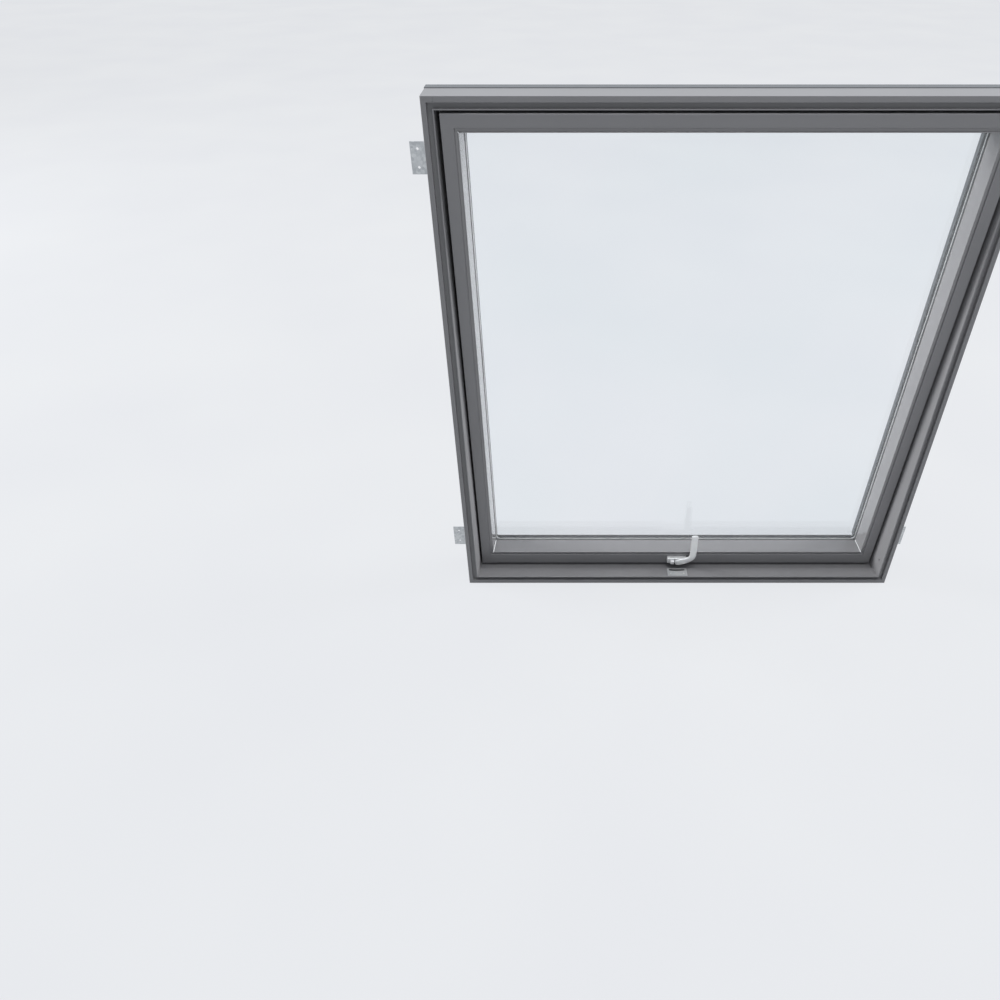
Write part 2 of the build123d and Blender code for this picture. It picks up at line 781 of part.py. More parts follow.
# Lever: round hub, an arm that rises to an elbow, and an upright grip
lever_back = hub_plane.offset(lever_clearance)
with BuildPart() as lever:
    with BuildSketch(lever_back):
        Circle(hub_radius)
        with Locations((elbow_x, elbow_rise)):
            Circle(elbow_radius)
        make_hull()
    extrude(amount=lever_thickness)
    with BuildSketch(lever_back):
        with BuildLine():
            Polyline(
                (elbow_x + elbow_radius - grip_foot_width, elbow_rise),
                (elbow_x + elbow_radius, elbow_rise),
                (elbow_x + elbow_radius + grip_lean, grip_top),
                (elbow_x + elbow_radius + grip_lean - grip_top_width, grip_top),
                close=True,
            )
        make_face()
    extrude(amount=lever_thickness)
    top_corners = lever.edges().filter_by(sash_out).sort_by(sash_up)[-2:]
    fillet(top_corners, grip_end_radius)
    front_edges = lever.faces().sort_by(sash_out)[0].edges()
    fillet(front_edges, lever_edge_radius)
lever.part.label = "lever_handle"
export_step(lever.part, "parts/lever_handle.step")

# Spindle from the lever through the base, and the flat tongue on its end
with BuildPart() as spindle:
    with BuildSketch(lever_back):
        Circle(spindle_radius)
    extrude(amount=-(lever_clearance + base_thickness - tongue_standoff))
spindle.part.label = "lever_spindle"
export_step(spindle.part, "parts/lever_spindle.step")

with BuildPart() as tongue:
    with BuildSketch(sash_sheet(hub, tongue_near)):
        Circle(tongue_root_radius)
        with Locations((tongue_tip_radius - tongue_reach, 0)):
            Circle(tongue_tip_radius)
        make_hull()
        Circle(spindle_radius + pin_play, mode=Mode.SUBTRACT)
    extrude(amount=-tongue_thickness)
tongue.part.label = "locking_tongue"
export_step(tongue.part, "parts/locking_tongue.step")

# Keeper: a thin plate on the sill, with a wide slot that takes the tongue
with BuildPart() as keeper:
    with BuildSketch(Plane.XY.offset(-clear_z)):
        with Locations((0, room_y + keeper_inset + keeper_depth / 2)):
            Rectangle(keeper_width, keeper_depth)
    extrude(amount=keeper_thickness)
    keeper_slot(Plane.XY.offset(-clear_z), keeper_thickness)
    with Locations(Plane.XY.offset(keeper_thickness - clear_z)):
        with Locations((0, room_y + keeper_screw_inset)):
            with GridLocations(keeper_width - 2 * keeper_screw_end, 0, 2, 1):
                CounterSinkHole(
                    keeper_screw_radius, keeper_screw_head, keeper_thickness, countersink_angle
                )
keeper.part.label = "keeper_plate"
export_step(keeper.part, "parts/keeper_plate.step")

keeper_screw = countersunk_screw(keeper_screw_radius, keeper_screw_head, keeper_screw_length)
with BuildPart() as keeper_screws:
    with Locations(
        Plane(
            origin=(0, room_y + keeper_screw_inset, keeper_thickness - clear_z),
            x_dir=(1, 0, 0),
            z_dir=(0, 0, -1),
        )
    ):
        with GridLocations(keeper_width - 2 * keeper_screw_end, 0, 2, 1):
            add(keeper_screw.part)
keeper_screws.part.label = "keeper_screws"
export_step(keeper_screws.part, "parts/keeper_screws.step")

# Mounting brackets: bent strips screwed to the jambs, their outer leg on the battens
for row, height in (("lower", -bracket_height), ("upper", bracket_height)):
    for name, side in (("left", -1), ("right", 1)):
        with BuildPart() as bracket:
            with BuildSketch(Plane.XY.offset(height - bracket_width / 2)):
                with BuildLine():
                    Polyline(
                        (side * half_width, -bracket_drop),
                        (side * (half_width + bracket_sheet), -bracket_drop),
                        (side * (half_width + bracket_sheet), 0),
                        (side * (half_width + bracket_leg), 0),
                        (side * (half_width + bracket_leg), bracket_sheet),
                        (side * half_width, bracket_sheet),
                        close=True,
                    )
                make_face()
            extrude(amount=bracket_width)
            bend = bracket.edges().filter_by(Axis.Z)
            inner_bend = bend.filter_by_position(Axis.Y, -0.01, 0.01).sort_by(Axis.X)
            outer_bend = bend.filter_by_position(Axis.Y, bracket_sheet - 0.01, bracket_sheet + 0.01)
            outer_bend = outer_bend.sort_by(Axis.X)
            fillet(inner_bend[0 if side > 0 else -1], bracket_bend_radius)
            fillet(outer_bend[0 if side > 0 else -1], bracket_bend_radius + bracket_sheet)
            with BuildSketch(Plane.XZ):
                with Locations((side * (half_width + bracket_hole_out), height)):
                    with GridLocations(0, bracket_hole_spacing, 1, 2):
                        Circle(bracket_hole_radius)
            extrude(amount=-bracket_sheet, mode=Mode.SUBTRACT)
            with BuildSketch(Plane.YZ.offset(side * half_width)):
                with Locations((-bracket_drop / 2, height)):
                    with GridLocations(0, bracket_hole_spacing, 1, 2):
                        Circle(bracket_screw_radius + bracket_screw_play)
            extrude(amount=side * bracket_sheet, mode=Mode.SUBTRACT)
        bracket.part.label = f"bracket_{row}_{name}"
        export_step(bracket.part, f"parts/bracket_{row}_{name}.step")

with BuildPart() as bracket_screw:
    with BuildSketch(Plane.XY):
        Circle(bracket_screw_radius)
    extrude(amount=bracket_screw_length + bracket_sheet)
    with BuildSketch(Plane.XY):
        RegularPolygon(bracket_screw_head, 6)
    extrude(amount=-bracket_screw_head_height)
with BuildPart() as bracket_screws:
    for side in (-1, 1):
        for height in (-bracket_height, bracket_height):
            with Locations(
                Plane(
                    origin=(side * (half_width + bracket_sheet), -bracket_drop / 2, height),
                    x_dir=(0, 1, 0),
                    z_dir=(-side, 0, 0),
                )
            ):
                with GridLocations(0, bracket_hole_spacing, 1, 2):
                    add(bracket_screw.part)
bracket_screws.part.label = "bracket_screws"
export_step(bracket_screws.part, "parts/bracket_screws.step")
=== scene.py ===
import json
import math

import bmesh
import bpy
from mathutils import Matrix, Vector


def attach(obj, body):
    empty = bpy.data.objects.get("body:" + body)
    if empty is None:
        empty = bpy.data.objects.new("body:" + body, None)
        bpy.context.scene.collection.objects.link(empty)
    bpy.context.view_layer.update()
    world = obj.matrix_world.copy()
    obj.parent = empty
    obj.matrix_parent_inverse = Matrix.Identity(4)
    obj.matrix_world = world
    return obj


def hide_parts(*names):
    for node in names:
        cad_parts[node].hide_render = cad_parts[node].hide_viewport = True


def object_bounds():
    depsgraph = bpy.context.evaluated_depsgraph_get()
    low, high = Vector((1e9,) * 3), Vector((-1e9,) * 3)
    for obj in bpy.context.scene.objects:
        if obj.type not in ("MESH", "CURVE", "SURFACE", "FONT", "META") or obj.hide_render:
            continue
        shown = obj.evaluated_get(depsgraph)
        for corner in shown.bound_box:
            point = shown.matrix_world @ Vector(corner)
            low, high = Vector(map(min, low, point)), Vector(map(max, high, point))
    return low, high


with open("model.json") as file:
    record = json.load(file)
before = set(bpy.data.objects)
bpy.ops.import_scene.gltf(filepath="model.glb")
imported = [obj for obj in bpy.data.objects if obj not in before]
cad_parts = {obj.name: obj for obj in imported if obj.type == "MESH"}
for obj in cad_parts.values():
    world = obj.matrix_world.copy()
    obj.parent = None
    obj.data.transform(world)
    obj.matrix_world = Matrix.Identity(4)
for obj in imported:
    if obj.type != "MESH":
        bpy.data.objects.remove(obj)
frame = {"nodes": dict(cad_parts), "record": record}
nodes = frame["nodes"]
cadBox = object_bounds()
bpy.ops.object.select_all(action="DESELECT")
print("frame loaded:", len(nodes), "nodes")

# The window stands with x along the sill, y outdoors and z up the slope.
# Sizes and places in the dictionaries are millimetres, angles are degrees.
millimetre = 0.001
across, upright = 0, 2


def perMetre(size):
    # scale of a pattern whose blotches are about this many millimetres wide
    return 1 / (size * millimetre)


def linear(hexColour):
    parts = [int(hexColour[i:i + 2], 16) / 255 for i in (1, 3, 5)]
    parts = [p / 12.92 if p <= 0.04045 else ((p + 0.055) / 1.055) ** 2.4 for p in parts]
    return (*parts, 1.0)


def setInputs(tree, node, inputs):
    # an input is a value, or the output socket that it is linked to
    for key, value in inputs.items():
        if isinstance(value, bpy.types.NodeSocket):
            tree.links.new(value, node.inputs[key])
        else:
            node.inputs[key].default_value = value


def addNode(tree, kind, inputs, stops=(), **settings):
    # stops are the ends of a colour ramp, each a place and a hex colour
    node = tree.nodes.new(kind)
    for key, value in settings.items():
        setattr(node, key, value)
    setInputs(tree, node, inputs)
    for index, (at, tone) in enumerate(stops):
        node.color_ramp.elements[index].position = at
        node.color_ramp.elements[index].color = linear(tone)
    return node


def startMaterial(name):
    material = bpy.data.materials.new(name)
    material.use_nodes = True
    tree = material.node_tree
    shader = tree.nodes["Principled BSDF"]
    place = addNode(tree, "ShaderNodeTexCoord", {}).outputs["Object"]
    return material, tree, shader, place


paint = {
    "dark": "#717173",
    "light": "#757577",
    "patch": 260.0,
    "grainWidth": 3.5,
    "grainLength": 180.0,
    "grainRelief": 0.08,
    "grainStrength": 0.2,
    "orangePeel": 2.2,  # drawn about twice as coarse as sprayed paint has it, so that it shows
    "peelRelief": 0.04,
    "peelStrength": 0.3,
    "satin": 0.38,
    "semiGloss": 0.2,
    "glossChange": 0.015,
    "beadCoat": 1.0,
    "coatRoughness": 0.09,
    "ior": 1.5,
}


def sprayedPaint(name, grainAxis, roughness, coat=0.0):
    # water-based acrylic enamel sprayed on pine: satin, its grain telegraphs faintly along the member
    material, tree, shader, place = startMaterial(name)
    squeeze = [paint["grainLength"] / paint["grainWidth"]] * 3
    squeeze[grainAxis] = 1.0
    lengthwise = addNode(tree, "ShaderNodeMapping", {"Vector": place, "Scale": squeeze})
    grain = addNode(tree, "ShaderNodeTexNoise", {
        "Vector": lengthwise.outputs["Vector"],
        "Scale": perMetre(paint["grainLength"]),
        "Detail": 4.0,
    }).outputs["Fac"]
    peel = addNode(tree, "ShaderNodeTexNoise", {
        "Vector": place, "Scale": perMetre(paint["orangePeel"]), "Detail": 2.0}).outputs["Fac"]
    patches = addNode(tree, "ShaderNodeTexNoise", {
        "Vector": place, "Scale": perMetre(paint["patch"]), "Detail": 1.0}).outputs["Fac"]
    colour = addNode(tree, "ShaderNodeValToRGB", {"Fac": patches},
                     stops=[(0.2, paint["dark"]), (0.8, paint["light"])])
    sheen = addNode(tree, "ShaderNodeMapRange", {
        "Value": grain,
        "To Min": roughness - paint["glossChange"],
        "To Max": roughness + paint["glossChange"],
    })
    grainBump = addNode(tree, "ShaderNodeBump", {
        "Height": grain,
        "Strength": paint["grainStrength"],
        "Distance": paint["grainRelief"] * millimetre,
    })
    peelBump = addNode(tree, "ShaderNodeBump", {
        "Height": peel,
        "Strength": paint["peelStrength"],
        "Distance": paint["peelRelief"] * millimetre,
        "Normal": grainBump.outputs["Normal"],
    })
    setInputs(tree, shader, {
        "Base Color": colour.outputs["Color"],
        "Roughness": sheen.outputs["Result"],
        "Normal": peelBump.outputs["Normal"],
        "IOR": paint["ior"],
        "Coat Weight": coat,
        "Coat Roughness": paint["coatRoughness"],
    })
    return material


framePaintUp = sprayedPaint("sprayed_enamel_on_pine_upright", upright, paint["satin"])
framePaintAcross = sprayedPaint("sprayed_enamel_on_pine_across", across, paint["satin"])
# the beads have a glossier last coat, which picks up the sky
beadPaintUp = sprayedPaint(
    "semi_gloss_enamel_bead_upright", upright, paint["semiGloss"], paint["beadCoat"])
beadPaintAcross = sprayedPaint(
    "semi_gloss_enamel_bead_across", across, paint["semiGloss"], paint["beadCoat"])

glass = {
    "tones": ("#fafcfd", "#fcfdfe"),
    "tintPatch": 400.0,
    "rollerWave": 300.0,
    "waveRelief": 0.05,
    "waveStrength": 0.05,
    "ior": 1.52,
}


def floatGlass():
    # low-iron float glass: clear with a trace of blue, a very slight roller wave
    material, tree, shader, place = startMaterial("clear_float_glass")
    cloud = addNode(tree, "ShaderNodeTexNoise", {
        "Vector": place, "Scale": perMetre(glass["tintPatch"]), "Detail": 1.0})
    tint = addNode(tree, "ShaderNodeValToRGB", {"Fac": cloud.outputs["Fac"]},
                   stops=[(0.3, glass["tones"][0]), (0.7, glass["tones"][1])])
    wave = addNode(tree, "ShaderNodeTexNoise", {
        "Vector": place, "Scale": perMetre(glass["rollerWave"]), "Detail": 0.0})
    bump = addNode(tree, "ShaderNodeBump", {
        "Height": wave.outputs["Fac"],
        "Strength": glass["waveStrength"],
        "Distance": glass["waveRelief"] * millimetre,
    })
    setInputs(tree, shader, {
        "Base Color": tint.outputs["Color"],
        "Normal": bump.outputs["Normal"],
        "Transmission Weight": 1.0,
        "Roughness": 0.0,
        "IOR": glass["ior"],
    })
    return material


clearGlass = floatGlass()

rubber = {"bloomPatch": 25.0, "relief": 0.1, "reliefStrength": 0.4, "ior": 1.52}


def softBlack(name, tones, roughness, grit):
    # extruded or moulded rubber and plastic: matt, with bloom that greys it in patches
    material, tree, shader, place = startMaterial(name)
    bloom = addNode(tree, "ShaderNodeTexNoise", {
        "Vector": place, "Scale": perMetre(rubber["bloomPatch"]), "Detail": 4.0})
    colour = addNode(tree, "ShaderNodeValToRGB", {"Fac": bloom.outputs["Fac"]},
                     stops=[(0.3, tones[0]), (0.7, tones[1])])
    grain = addNode(tree, "ShaderNodeTexNoise", {
        "Vector": place, "Scale": perMetre(grit), "Detail": 3.0})
    bump = addNode(tree, "ShaderNodeBump", {
        "Height": grain.outputs["Fac"],
        "Strength": rubber["reliefStrength"],
        "Distance": rubber["relief"] * millimetre,
    })
    setInputs(tree, shader, {
        "Base Color": colour.outputs["Color"],
        "Normal": bump.outputs["Normal"],
        "Roughness": roughness,
        "IOR": rubber["ior"],
    })
    return material


# extruded EPDM: dull black, greyer where it has bloomed
sealRubber = softBlack("extruded_epdm", ("#2a2b2c", "#38393a"), roughness=0.62, grit=0.8)
# the same in grey: a soft dark line beside the glass
greyRubber = softBlack("extruded_grey_epdm", ("#56585a", "#626466"), roughness=0.6, grit=0.8)
# gunned butyl: near black, slightly lumpy
edgeSealant = softBlack("butyl_edge_seal", ("#121212", "#1c1c1c"), roughness=0.55, grit=3.0)
# moulded nylon: black with a dull shine
washerNylon = softBlack("moulded_nylon", ("#1c1c1d", "#252526"), roughness=0.42, grit=0.6)

metal = {"patch": 30.0, "glossChange": 0.05, "gritRelief": 0.05, "gritStrength": 0.3}


def coatedMetal(name, tones, roughness, grit, metallic=1.0):
    # patches of tone over a fine blasted or plated grit, drawn coarser than the real
    # tenth of a millimetre so that it shows
    material, tree, shader, place = startMaterial(name)
    patches = addNode(tree, "ShaderNodeTexNoise", {
        "Vector": place, "Scale": perMetre(metal["patch"]), "Detail": 3.0}).outputs["Fac"]
    colour = addNode(tree, "ShaderNodeValToRGB", {"Fac": patches},
                     stops=[(0.32, tones[0]), (0.68, tones[1])])
    sheen = addNode(tree, "ShaderNodeMapRange", {
        "Value": patches,
        "From Min": 0.3,
        "From Max": 0.7,
        "To Min": roughness - metal["glossChange"],
        "To Max": roughness + metal["glossChange"],
    })
    grain = addNode(tree, "ShaderNodeTexNoise", {
        "Vector": place, "Scale": perMetre(grit), "Detail": 2.0})
    bump = addNode(tree, "ShaderNodeBump", {
        "Height": grain.outputs["Fac"],
        "Strength": metal["gritStrength"],
        "Distance": metal["gritRelief"] * millimetre,
    })
    setInputs(tree, shader, {
        "Base Color": colour.outputs["Color"],
        "Roughness": sheen.outputs["Result"],
        "Normal": bump.outputs["Normal"],
        "Metallic": metallic,
    })
    return material


# rolled stainless foil, seen through the pane: a thin light line
spacerFoil = coatedMetal(
    "stainless_spacer_foil", ("#e2e3e3", "#ececeb"), roughness=0.34, grit=0.8, metallic=0.5)
# baked polyester lacquer on sheet: dark grey, eggshell
lacqueredAluminium = coatedMetal(
    "polyester_lacquered_aluminium", ("#4c4f52", "#54575a"), roughness=0.42, grit=0.7, metallic=0.0)
# zinc plating: pale, faintly yellow in patches
zincSteel = coatedMetal("zinc_plated_steel", ("#c4c6c8", "#d3d2cc"), roughness=0.32, grit=0.6)
hingeSteel = coatedMetal("zinc_plated_hinge_steel", ("#b9bbbe", "#cbcac3"), roughness=0.36, grit=0.9)
lockSteel = coatedMetal("zinc_plated_lock_steel", ("#c0c2c4", "#cfcec8"), roughness=0.3, grit=0.6)
# blasted and satin lacquered casting: pale silver with broad soft highlights
castHandle = coatedMetal(
    "satin_cast_aluminium", ("#d4d5d6", "#dedfdf"), roughness=0.36, grit=0.5, metallic=0.6)
# anodised sheet: flatter and greyer than the casting
keeperAluminium = coatedMetal(
    "satin_anodised_aluminium", ("#adaeaf", "#b8b9b9"), roughness=0.42, grit=0.5, metallic=0.7)

galvanising = {"spangle": 6.0, "tones": ("#a9adb0", "#cfd2d3"), "glossRange": (0.3, 0.48)}


def galvanisedSteel():
    # hot-dip galvanised sheet: spangle of flat crystals, each with its own tone and gloss
    material, tree, shader, place = startMaterial("hot_dip_galvanised_sheet")
    spangle = addNode(tree, "ShaderNodeTexVoronoi", {
        "Vector": place, "Scale": perMetre(galvanising["spangle"])}).outputs["Color"]
    tone = addNode(tree, "ShaderNodeValToRGB", {"Fac": spangle},
                   stops=[(0.0, galvanising["tones"][0]), (1.0, galvanising["tones"][1])])
    gloss = addNode(tree, "ShaderNodeMapRange", {
        "Value": spangle,
        "To Min": galvanising["glossRange"][0],
        "To Max": galvanising["glossRange"][1],
    })
    setInputs(tree, shader, {
        "Base Color": tone.outputs["Color"],
        "Roughness": gloss.outputs["Result"],
        "Metallic": 1.0,
    })
    return material


bracketZinc = galvanisedSteel()

composite = {
    "tones": ("#303234", "#383a3c"),
    "patch": 6.0,
    "lineLength": 60.0,
    "lineWidth": 1.0,
    "relief": 0.1,
    "reliefStrength": 0.3,
    "roughness": 0.55,
}


def spacerPlastic():
    # extruded warm-edge composite: dark grey, matt, finely drawn along its length
    material, tree, shader, place = startMaterial("extruded_spacer_composite")
    patches = addNode(tree, "ShaderNodeTexNoise", {
        "Vector": place, "Scale": perMetre(composite["patch"]), "Detail": 3.0})
    colour = addNode(tree, "ShaderNodeValToRGB", {"Fac": patches.outputs["Fac"]},
                     stops=[(0.3, composite["tones"][0]), (0.7, composite["tones"][1])])
    lengthwise = addNode(tree, "ShaderNodeMapping", {
        "Vector": place, "Scale": (1.0, composite["lineLength"] / composite["lineWidth"], 1.0)})
    lines = addNode(tree, "ShaderNodeTexNoise", {
        "Vector": lengthwise.outputs["Vector"],
        "Scale": perMetre(composite["lineLength"]),
        "Detail": 2.0,
    })
    bump = addNode(tree, "ShaderNodeBump", {
        "Height": lines.outputs["Fac"],
        "Strength": composite["reliefStrength"],
        "Distance": composite["relief"] * millimetre,
    })
    setInputs(tree, shader, {
        "Base Color": colour.outputs["Color"],
        "Normal": bump.outputs["Normal"],
        "Roughness": composite["roughness"],
    })
    return material


spacerComposite = spacerPlastic()

# tones of the painted highlight along the bead mitres
mitreGlint = {
    "tones": ("#c9cbcd", "#d3d5d6"),
    "ripple": 4.0,
    "relief": 0.2,
    "reliefStrength": 0.4,
    "roughness": 0.35,
}


def paintedMitreHighlight():
    # painted highlight: a near-white, satin, slightly uneven line that stands in for the light caught
    # along each bead mitre
    material, tree, shader, place = startMaterial("painted_highlight_along_mitre")
    ripple = addNode(tree, "ShaderNodeTexNoise", {
        "Vector": place, "Scale": perMetre(mitreGlint["ripple"]), "Detail": 2.0}).outputs["Fac"]
    colour = addNode(tree, "ShaderNodeValToRGB", {"Fac": ripple},
                     stops=[(0.3, mitreGlint["tones"][0]), (0.7, mitreGlint["tones"][1])])
    bump = addNode(tree, "ShaderNodeBump", {
        "Height": ripple,
        "Strength": mitreGlint["reliefStrength"],
        "Distance": mitreGlint["relief"] * millimetre,
    })
    setInputs(tree, shader, {
        "Base Color": colour.outputs["Color"],
        "Normal": bump.outputs["Normal"],
        "Roughness": mitreGlint["roughness"],
    })
    return material


# near-white material of the painted mitre highlight
mitreHighlightFinish = paintedMitreHighlight()
print("materials made")

finishes = {
    "frame_paint": framePaintUp,
    "sash_paint": framePaintUp,
    "bead_paint": beadPaintUp,
    "glass": clearGlass,
    "spacer_aluminium": spacerFoil,
    "edge_sealant": edgeSealant,
    "seal_rubber": sealRubber,
    "cladding_aluminium": lacqueredAluminium,
    "hinge_steel": hingeSteel,
    "washer_plastic": washerNylon,
    "screw_steel": zincSteel,
    "bracket_steel": bracketZinc,
    "handle_aluminium": castHandle,
    "lock_steel": lockSteel,
    "keeper_aluminium": keeperAluminium,
}
acrossMembers = {
    "frame_sill": framePaintAcross,
    "frame_head": framePaintAcross,
    "sash_bottom_rail": framePaintAcross,
    "sash_top_rail": framePaintAcross,
    "glazing_bead_top": beadPaintAcross,
    "glazing_bead_bottom": beadPaintAcross,
}
for part in frame["record"]["subparts"]:
    obj = nodes[part["node"]]
    finish = acrossMembers.get(part["node"], finishes[part["material_slot"]])
    obj.data.materials.clear()
    obj.data.materials.append(finish)
for pane in ("inner_pane", "outer_pane"):
    nodes[pane].visible_shadow = False  # daylight falls through the panes onto the beads
print("CAD nodes finished")

smoothAngle = 35
sameLevel = 0.01  # how far apart two faces or edges may lie and still count as level


def metres(*values):
    return tuple(value * millimetre for value in values)


def deselect():
    if bpy.context.mode != "OBJECT":
        bpy.ops.object.mode_set(mode="OBJECT")
    bpy.ops.object.select_all(action="DESELECT")


def activate(piece):
    # leaves edit mode, with this piece alone selected
    deselect()
    piece.select_set(True)
    bpy.context.view_layer.objects.active = piece


def settle(piece):
    # the place goes into the mesh, as in a CAD node
    activate(piece)
    bpy.ops.object.transform_apply(location=True, rotation=True, scale=True)


def addShape(kind, at, **settings):
    deselect()
    getattr(bpy.ops.mesh, "primitive_" + kind + "_add")(location=metres(*at), **settings)
    piece = bpy.context.object
    settle(piece)
    return piece


def flatPiece(x, y, z, halfX, halfZ):
    # rectangle that faces the room
    deselect()
    bpy.ops.mesh.primitive_plane_add(
        size=2, location=metres(x, y, z), rotation=(math.radians(90), 0, 0))
    piece = bpy.context.object
    piece.scale = metres(halfX, halfZ, 1)
    settle(piece)
    return piece


def editPiece(piece):
    activate(piece)
    bpy.ops.object.mode_set(mode="EDIT")


def pick(piece, part, test=None):
    # selects verts, edges or faces by their place or normal, or all of them
    bpy.ops.mesh.select_all(action="DESELECT")
    bpy.context.tool_settings.mesh_select_mode = (part == "verts", part == "edges", part == "faces")
    mesh = bmesh.from_edit_mesh(piece.data)
    for element in getattr(mesh, part):
        if test is None or test(element):
            element.select_set(True)
    mesh.select_flush_mode()
    bmesh.update_edit_mesh(piece.data)


def middle(edge):
    return (edge.verts[0].co + edge.verts[1].co) / 2


def along(edge):
    return (edge.verts[1].co - edge.verts[0].co).normalized()


def edgesAt(depth):
    # edges that lie at this depth of the window
    return lambda edge: abs(middle(edge).y - depth * millimetre) < sameLevel * millimetre


def extrude(*move):
    bpy.ops.mesh.extrude_region_move(TRANSFORM_OT_translate={"value": metres(*move)})


def narrow(ratio):
    bpy.ops.transform.resize(value=(ratio, ratio, 1))


def bevel(size, segments, **settings):
    bpy.ops.mesh.bevel(offset=size * millimetre, segments=segments, **settings)


def inset(width):
    bpy.ops.mesh.inset(thickness=width * millimetre, use_even_offset=True)


def faceOutwards():
    bpy.ops.mesh.select_all(action="SELECT")
    bpy.ops.mesh.normals_make_consistent(inside=False)


def applyModifier(piece, kind, **settings):
    activate(piece)
    modifier = piece.modifiers.new(kind.lower(), kind)
    for key, value in settings.items():
        setattr(modifier, key, value)
    bpy.ops.object.modifier_apply(modifier=modifier.name)


def combine(piece, tool, operation):
    applyModifier(piece, "BOOLEAN", operation=operation, object=tool, solver="EXACT")
    bpy.data.objects.remove(tool)


def copyAt(piece, move, turn):
    double = bpy.data.objects.new(piece.name, piece.data.copy())
    bpy.context.scene.collection.objects.link(double)
    double.rotation_euler = [math.radians(angle) for angle in turn]
    double.location = metres(*move)
    settle(double)
    return double


def joined(pieces):
    activate(pieces[0])
    for piece in pieces:
        piece.select_set(True)
    bpy.ops.object.join()
    return bpy.context.view_layer.objects.active


# The sash is drawn square to the frame and then tilted about its pivots, as it stands open
sashTilt = {"angle": 2.8, "pivotY": 5.0}


def tiltSash(piece):
    settle(piece)
    piece.data.transform(
        Matrix.Translation(metres(0, sashTilt["pivotY"], 0))
        @ Matrix.Rotation(math.radians(sashTilt["angle"]), 4, "X"))


def finishPiece(piece, name, body, slotName, finish, *replaced):
    # finish is a material, or a tuple of them in the order of the slots that the faces name
    piece.name = name
    piece.data.name = name
    for index, material in enumerate(finish if isinstance(finish, tuple) else (finish,)):
        if index < len(piece.data.materials):
            piece.data.materials[index] = material
        else:
            piece.data.materials.append(material)
    activate(piece)
    bpy.ops.object.shade_smooth_by_angle(angle=math.radians(smoothAngle))
    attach(piece, body)
    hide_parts(*replaced)


# Lever: a cast arm with a round hub, swept up to a flat upright grip
lever = {
    "hub": (5.0, -649.0),
    "back": -55.3,
    "thickness": 9.0,
    "endLength": 1.0,
    "stations": [  # centre along x and z from the hub, width across, lean of the arm
        (-10.5, -2.4, 10.5, 10),
        (-8.4, -2.0, 17.6, 10),
        (-1.0, 0.0, 22.6, 12),
        (12.0, 2.8, 22.2, 15),
        (25.6, 7.2, 20.8, 24),
        (36.7, 12.9, 18.6, 45),
        (42.5, 21.0, 19.7, 75),
        (44.3, 36.0, 20.7, 86),
        (44.1, 60.0, 20.6, 91),
        (43.3, 90.0, 20.7, 91),
        (42.8, 109.0, 20.7, 91),
        (42.7, 112.6, 19.0, 91),
    ],
    "crownInset": 4.0,
    "crownRise": 0.7,
    "crownEnd": 0.5,
    "edgeRadius": 2.0,
    "sharpEdge": 57.3,
    "smoothing": 3,
}


def sweepArm(piece, depthAt):
    # each station is extruded from the last, turned to its lean and scaled to its width
    hubX, hubZ = lever["hub"]
    (x, z, width, lean), *others = lever["stations"]
    pick(piece, "verts")
    bpy.ops.transform.rotate(value=math.radians(lean), orient_axis="Y",
                             center_override=metres(hubX + x, depthAt, hubZ + z))
    pick(piece, "faces", lambda f: f.normal.x > 0.9)
    for x, z, newWidth, newLean in others:
        centre = Vector(metres(hubX + x, depthAt, hubZ + z))
        mesh = bmesh.from_edit_mesh(piece.data)
        face = next(f for f in mesh.faces if f.select)
        move = centre - face.calc_center_median()
        bpy.ops.mesh.extrude_region_move(TRANSFORM_OT_translate={"value": move})
        bpy.ops.transform.rotate(
            value=math.radians(newLean - lean), orient_axis="Y", center_override=centre)
        ratio = newWidth / width
        bpy.ops.transform.resize(value=(ratio, 1, ratio), center_override=centre)
        width, lean = newWidth, newLean


def makeLever():
    hubX, hubZ = lever["hub"]
    depth = lever["thickness"] - lever["crownRise"]
    depthAt = lever["back"] - depth / 2
    first, second = lever["stations"][:2]
    piece = addShape("cube", (hubX + first[0], depthAt, hubZ + first[1]), size=1,
                     scale=metres(lever["endLength"], depth, first[2]))
    editPiece(piece)
    sweepArm(piece, depthAt)
    leftEnd = (hubX + second[0] - lever["crownEnd"]) * millimetre
    topEnd = (hubZ + lever["stations"][-2][1] + lever["crownEnd"]) * millimetre
    edgeDepth = (depth / 2 - sameLevel) * millimetre

    def onFront(face):
        centre = face.calc_center_median()
        return face.normal.y < -0.9 and centre.x > leftEnd and centre.z < topEnd

    def onLongEdge(edge):
        sharp = len(edge.link_faces) == 2 and edge.calc_face_angle() > math.radians(lever["sharpEdge"])
        outside = abs(middle(edge).y - depthAt * millimetre) > edgeDepth
        return sharp and outside and abs(along(edge).y) < 0.1

    # low crown over the front face
    pick(piece, "faces", onFront)
    inset(lever["crownInset"])
    bpy.ops.transform.translate(value=metres(0, -lever["crownRise"], 0))
    # the long edges are rounded before the arm is smoothed, so that its faces stay flat
    pick(piece, "edges", onLongEdge)
    bevel(lever["edgeRadius"], 3)
    applyModifier(piece, "SUBSURF", levels=lever["smoothing"], render_levels=lever["smoothing"])
    tiltSash(piece)
    finishPiece(piece, "leverHandle", "lever", "handle_aluminium", castHandle, "lever_handle")


makeLever()
print("lever made")

